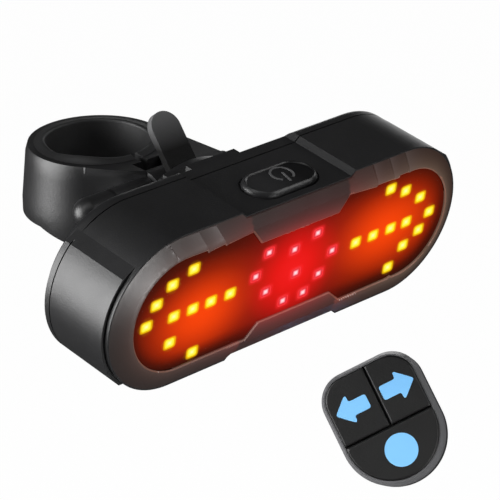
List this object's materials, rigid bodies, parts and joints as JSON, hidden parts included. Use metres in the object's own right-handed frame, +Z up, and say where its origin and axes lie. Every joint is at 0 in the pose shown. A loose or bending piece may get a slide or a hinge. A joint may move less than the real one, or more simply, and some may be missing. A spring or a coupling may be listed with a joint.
{
  "type": "bicycle turn signal light",
  "caption": "Wide rear turn signal light with arrow and brake lights behind a lens, on a tilting seat-post clamp with a slide-off holder, and its small three-button bar remote.",
  "frame": {"origin": "axis of the seat-post clamp, at half the height of its ring", "axes": "+Z up along the seat post, the lens faces -Y, +X to the right of someone who looks at the lens"},
  "size_m": [0.1335, 0.0972, 0.1153],
  "materials": {
    "black_plastic": "satin",
    "smoky_plastic": "gloss",
    "red_lens": "gloss",
    "black_rubber": "matte",
    "amber_light": "gloss",
    "red_light": "gloss",
    "board_green": "satin",
    "chip_black": "satin",
    "steel": "satin",
    "cell_silver": "satin",
    "foam": "matte",
    "wire_red": "matte",
    "connector_white": "satin",
    "blue_mark": "satin",
    "grey_case": "gloss"
  },
  "bodies": {
    "clamp": {"clamp_band": "black_plastic", "clamp_liner": "black_rubber", "pivot_bolt": "steel", "pivot_cap_nut": "black_plastic", "pivot_washers": "steel", "remote_case": "grey_case", "remote_base": "black_plastic", "remote_seal": "black_rubber", "remote_board": "board_green", "remote_switches": "steel", "remote_cell": "steel", "remote_cell_clip": "steel", "remote_screws": "steel", "remote_saddle": "black_rubber", "remote_strap": "black_rubber"},
    "holder": {"slide_holder": "black_plastic", "latch_pin": "steel"},
    "latch": {"release_latch": "black_plastic"},
    "light": {"front_shell": "black_plastic", "lens_bezel": "smoky_plastic", "lens": "red_lens", "led_board": "board_green", "amber_leds_left": "amber_light", "amber_leds_right": "amber_light", "red_leds": "red_light", "control_chip": "chip_black", "radio_module": "cell_silver", "power_switch": "chip_black", "button_seal": "black_rubber", "usb_socket": "steel", "battery_cell": "cell_silver", "battery_pad": "foam", "battery_plug": "connector_white", "battery_lead": "wire_red", "back_cover": "black_plastic", "back_cover_seal": "black_rubber", "back_screws": "steel", "slide_rail": "black_plastic", "rail_screws": "steel"},
    "button": {"power_button": "black_rubber"},
    "flap": {"usb_flap": "black_rubber"},
    "left_key": {"remote_left_button": "black_rubber", "remote_left_mark": "blue_mark"},
    "right_key": {"remote_right_button": "black_rubber", "remote_right_mark": "blue_mark"},
    "round_key": {"remote_round_button": "black_rubber", "remote_round_mark": "blue_mark"}
  },
  "joints": [
    {"name": "tilt", "type": "hinge", "parent": "clamp", "child": "holder", "pos_m": [0.0005, -0.024, 0.0034], "axis": [1, 0, 0], "range_deg": [-15, 15]},
    {"name": "latch_release", "type": "hinge", "parent": "holder", "child": "latch", "pos_m": [0.0005, -0.0332, 0.0019], "axis": [-1, 0, 0], "range_deg": [0, 8], "stiffness_Nm_per_rad": 0.6, "springref_deg": -5.73},
    {"name": "light_slide", "type": "slide", "parent": "holder", "child": "light", "axis": [0, -0.1564, 0.9877], "range_m": [0, 0.03]},
    {"name": "power_press", "type": "slide", "parent": "light", "child": "button", "axis": [0, 0.1564, -0.9877], "range_m": [0, 0.0006], "stiffness_N_per_m": 1500, "springref_m": -0.0004},
    {"name": "flap_open", "type": "hinge", "parent": "light", "child": "flap", "pos_m": [0, -0.05896, -0.02007], "axis": [1, 0, 0], "range_deg": [0, 100], "stiffness_Nm_per_rad": 0.002, "springref_deg": -17.19},
    {"name": "left_press", "type": "slide", "parent": "clamp", "child": "left_key", "axis": [0.7002, 0.4976, -0.512], "range_m": [0, 0.0005], "stiffness_N_per_m": 1200, "springref_m": -0.0004},
    {"name": "right_press", "type": "slide", "parent": "clamp", "child": "right_key", "axis": [0.7002, 0.4976, -0.512], "range_m": [0, 0.0005], "stiffness_N_per_m": 1200, "springref_m": -0.0004},
    {"name": "round_press", "type": "slide", "parent": "clamp", "child": "round_key", "axis": [0.7002, 0.4976, -0.512], "range_m": [0, 0.0005], "stiffness_N_per_m": 1200, "springref_m": -0.0004}
  ]
}
